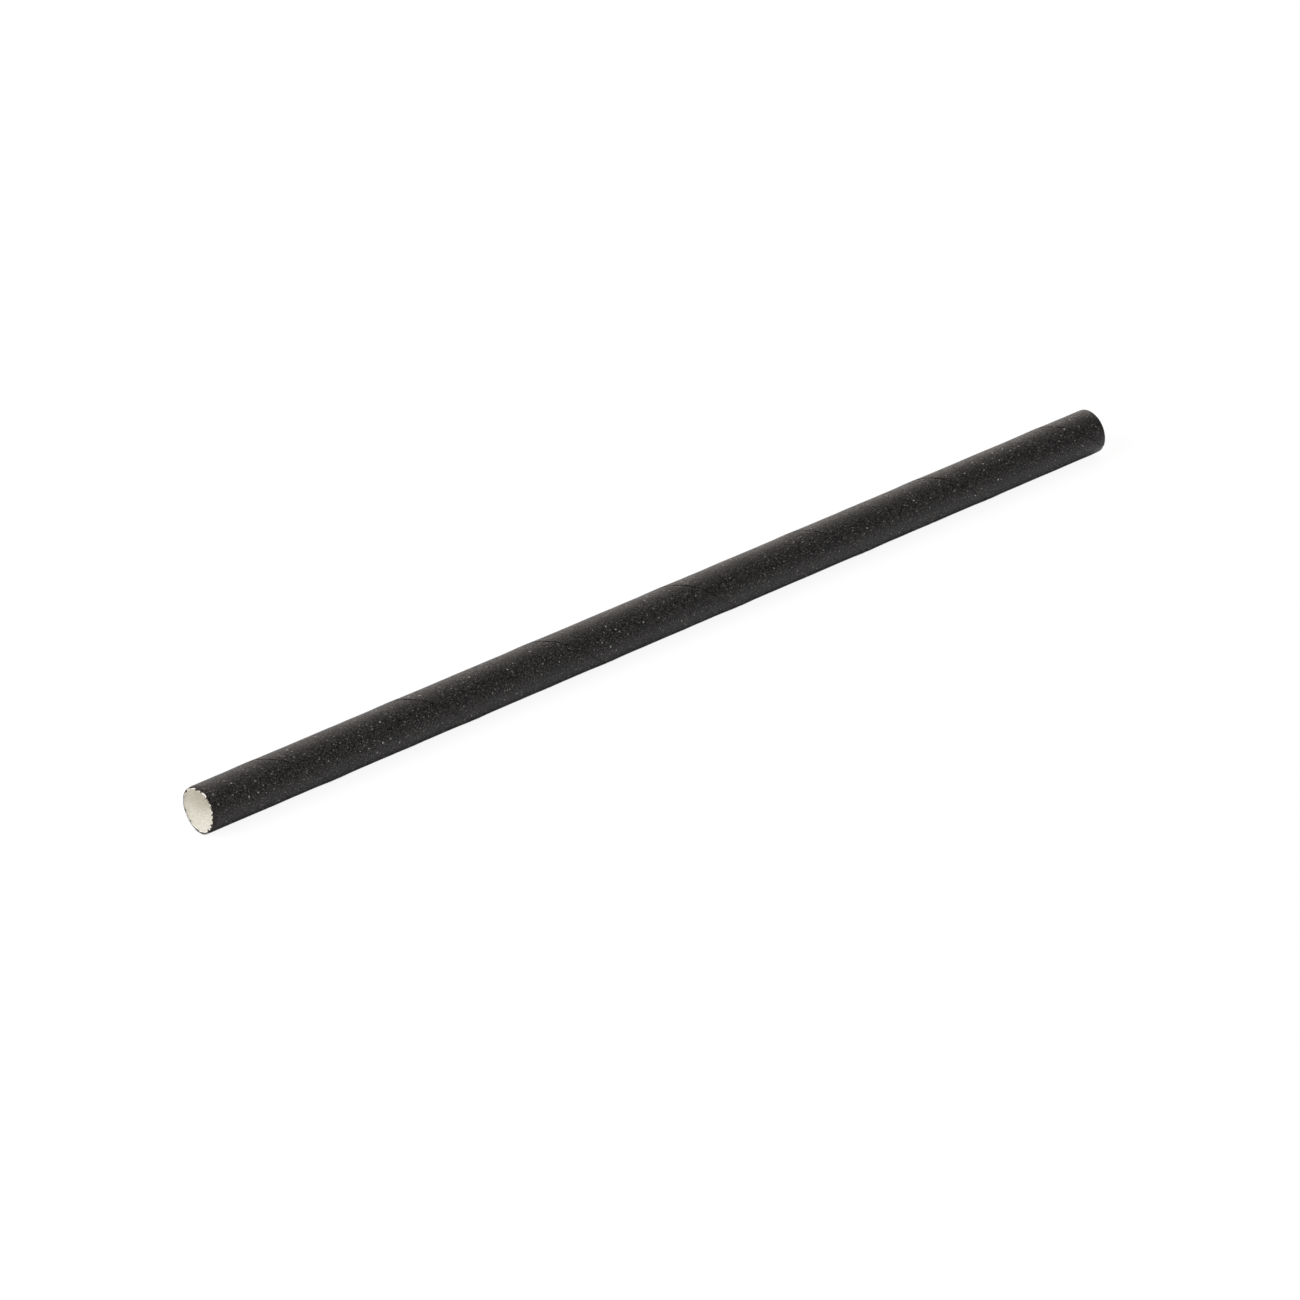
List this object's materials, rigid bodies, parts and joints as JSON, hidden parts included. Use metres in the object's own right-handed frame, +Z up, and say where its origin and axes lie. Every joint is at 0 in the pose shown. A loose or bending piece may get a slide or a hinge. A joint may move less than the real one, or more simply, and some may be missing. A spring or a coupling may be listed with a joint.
{
  "type": "paper drinking straw",
  "caption": "Straight spiral-wound paper drinking straw, black outside and white inside, lying on its side.",
  "frame": {"origin": "on the ground under the middle of the straw as it lies", "axes": "+X along the straw's bore, +Z up"},
  "size_m": [0.197, 0.008, 0.008],
  "materials": {
    "black_paper": "matte dyed paper with fine fibres",
    "white_paper": "matte uncoated paper"
  },
  "bodies": {
    "root": {"outer_ply": "black_paper", "middle_ply": "white_paper", "inner_ply": "white_paper"}
  },
  "joints": []
}
